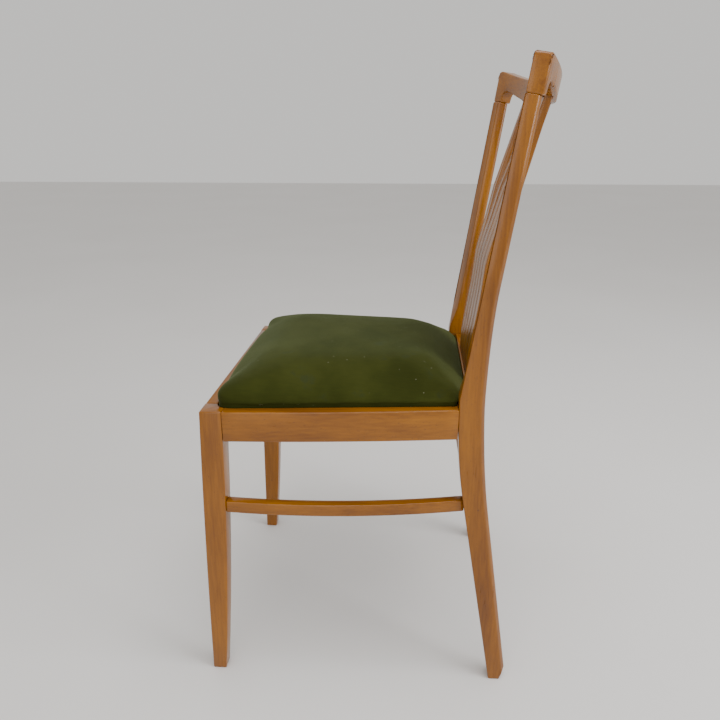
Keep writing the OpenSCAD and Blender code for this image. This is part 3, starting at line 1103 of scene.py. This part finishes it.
@dataclass
class DropInSeat:
    """The whole loose seat: wooden frame, webbing, cloths, stuffing and cover."""

    rails: Sequence[str] = ("front", "back", "left", "right")
    jute: WovenCloth = WovenCloth(
        "jute", (0.42, 0.29, 0.16, 1), (0.17, 0.10, 0.05, 1), 2.6 * MM
    )
    sacking: WovenCloth = WovenCloth(
        "sacking", (0.47, 0.35, 0.2, 1), (0.2, 0.13, 0.07, 1), 1.8 * MM
    )
    black: WovenCloth = WovenCloth(
        "black_lining", (0.045, 0.043, 0.04, 1), (0.01, 0.01, 0.01, 1), 0.8 * MM
    )
    lining_sag: float = 2.5 * MM

    def build(self, bare: dict[Grain, bpy.types.Material], steel: bpy.types.Material) -> None:
        """Builds and dresses the seat.

        Args:
            bare: The bare beech by way of the grain.
            steel: The steel of the tacks.
        """
        for place in self.rails:
            grain = Grain.ALONG_X if place in ("front", "back") else Grain.ALONG_Y
            part = WoodPart(f"seat_frame_{place}", grain, 0.7 * MM, 2)
            obj = part.build()
            obj.name = f"seat_frame_{place}_bare"
            hand_over(obj, bare[grain], "seat", "plain_beech", part.node)
        dress_node("seat_frame_dowels", bare[Grain.ALONG_Y])
        dress_node("webbing_tacks", steel)
        dress_node("cover_tacks", steel)
        jute = self.jute.material()
        Webbing("webbing_lengthwise", "webbing_long", True).build(jute)
        Webbing("webbing_crosswise", "webbing_cross", False).build(jute)
        TightCloth("hessian", "hessian_cloth", 0.0).build(
            self.sacking.material(), "hessian", "webbing_cross_1"
        )
        TightCloth("dust_cloth", "dust_lining", self.lining_sag).build(
            self.black.material(), "dust_cloth", "seat_frame_front_bare"
        )
        pad = StuffedPad().build()
        hand_over(pad, Wadding().material(), "seat", "stuffing", "stuffing")
        maker = VelvetCover()
        cover = maker.build(pad)
        hand_over(cover, Velvet().material(), "seat", "velvet", "velvet_cover")
        log.info("drop-in seat: pad %d faces, cover %d faces", *map(faces_of, (pad, cover)))


# ---------------------------------------------------------------- studio and camera


@dataclass
class AreaLamp:
    """One soft rectangular lamp."""

    name: str
    place: Triple
    aim: Triple
    size: tuple[float, float]
    power: float
    tint: Triple = (1.0, 1.0, 1.0)

    def build(self) -> None:
        """Hangs the lamp and turns it to what it lights."""
        data = bpy.data.lights.new(self.name, "AREA")
        data.shape = "RECTANGLE"
        data.size, data.size_y = self.size
        data.energy = self.power
        data.color = self.tint
        lamp = bpy.data.objects.new(self.name, data)
        bpy.context.scene.collection.objects.link(lamp)
        lamp.location = self.place
        way = Vector(self.aim) - Vector(self.place)
        lamp.rotation_euler = way.to_track_quat("-Z", "Y").to_euler()


@dataclass
class Studio:
    """A pale floor in soft light."""

    half: float = 9.0
    dull: Colour = (0.70, 0.68, 0.66, 1.0)
    pale: Colour = (0.76, 0.745, 0.73, 1.0)
    patch_scale: float = 1.5
    world: Colour = (0.90, 0.885, 0.86, 1.0)
    world_strength: float = 0.85
    lamps: Sequence[AreaLamp] = (
        AreaLamp("overhead", (0.5, 0.3, 2.6), (0.0, 0.0, 0.5), (1.6, 1.6), 34.0),
        AreaLamp(
            "window", (0.9, 2.6, 1.5), (0.0, 0.1, 0.6), (1.6, 1.8), 58.0, (0.95, 0.97, 1.0)
        ),
        AreaLamp("fill", (2.8, -0.6, 1.0), (0.0, 0.0, 0.4), (1.6, 1.6), 16.0),
    )

    def build(self) -> None:
        """Lays the floor and sets the lamps and the air's own light."""
        deselect_all()
        bpy.ops.mesh.primitive_grid_add(
            x_subdivisions=4, y_subdivisions=4, size=2.0 * self.half, location=(0.0, 0.0, 0.0)
        )
        floor = bpy.context.object
        floor.name = "studio_floor"
        shader = Shader("pale_floor")
        tone = shader.noise(shader.place(), self.patch_scale, 3.0, 0.5)
        base = shader.mix(tone, self.dull, self.pale)
        floor.data.materials.append(shader.feed(Base_Color=base, Roughness=tone * 0.1 + 0.6))
        world = bpy.data.worlds.new("soft_air")
        world.use_nodes = True
        background = world.node_tree.nodes["Background"]
        background.inputs[0].default_value = self.world
        background.inputs[1].default_value = self.world_strength
        bpy.context.scene.world = world
        for lamp in self.lamps:
            lamp.build()
        log.info("studio: floor and %d lamps", len(self.lamps))


@dataclass
class ViewPoint:
    """The camera, standing to the chair's left and higher than the seat; angles in degrees."""

    lens: float = 33.32
    sensor: float = 36.0
    place: Triple = (1.0197, 0.0543, 0.8084)
    pitch: float = 19.4412
    yaw: float = 4.7177
    roll: float = -0.1149

    def build(self) -> None:
        """Makes the camera and gives it to the scene."""
        data = bpy.data.cameras.new("view")
        data.lens = self.lens
        data.sensor_width = self.sensor
        data.sensor_fit = "HORIZONTAL"
        camera = bpy.data.objects.new("view", data)
        bpy.context.scene.collection.objects.link(camera)
        pitch, yaw, roll = (math.radians(a) for a in (self.pitch, self.yaw, self.roll))
        ahead = Vector(
            (-math.cos(pitch) * math.cos(yaw), -math.cos(pitch) * math.sin(yaw), -math.sin(pitch))
        )
        level = Vector((-math.sin(yaw), math.cos(yaw), 0.0))
        upright = level.cross(ahead)
        right = level * math.cos(roll) + upright * math.sin(roll)
        above = upright * math.cos(roll) - level * math.sin(roll)
        turn = Matrix((right, above, -ahead)).transposed()
        camera.matrix_world = Matrix.Translation(self.place) @ turn.to_4x4()
        bpy.context.scene.camera = camera


# ---------------------------------------------------------------- all together


def main() -> None:
    """Builds the chair piece by piece, then the studio and the camera."""
    logging.basicConfig(level=logging.INFO, format="%(name)s: %(message)s")
    lacquer = {grain: LacqueredBeech().material(grain) for grain in Grain}
    bare = {grain: BareBeech().material(grain) for grain in Grain}
    steel = BluedSteel().material()
    for group in (Legs(), Rails(), Back()):
        group.build(lacquer)
    Joinery().build(bare, steel)
    DropInSeat().build(bare, steel)
    Studio().build()
    ViewPoint().build()
    deselect_all()


if __name__ == "__main__":
    main()
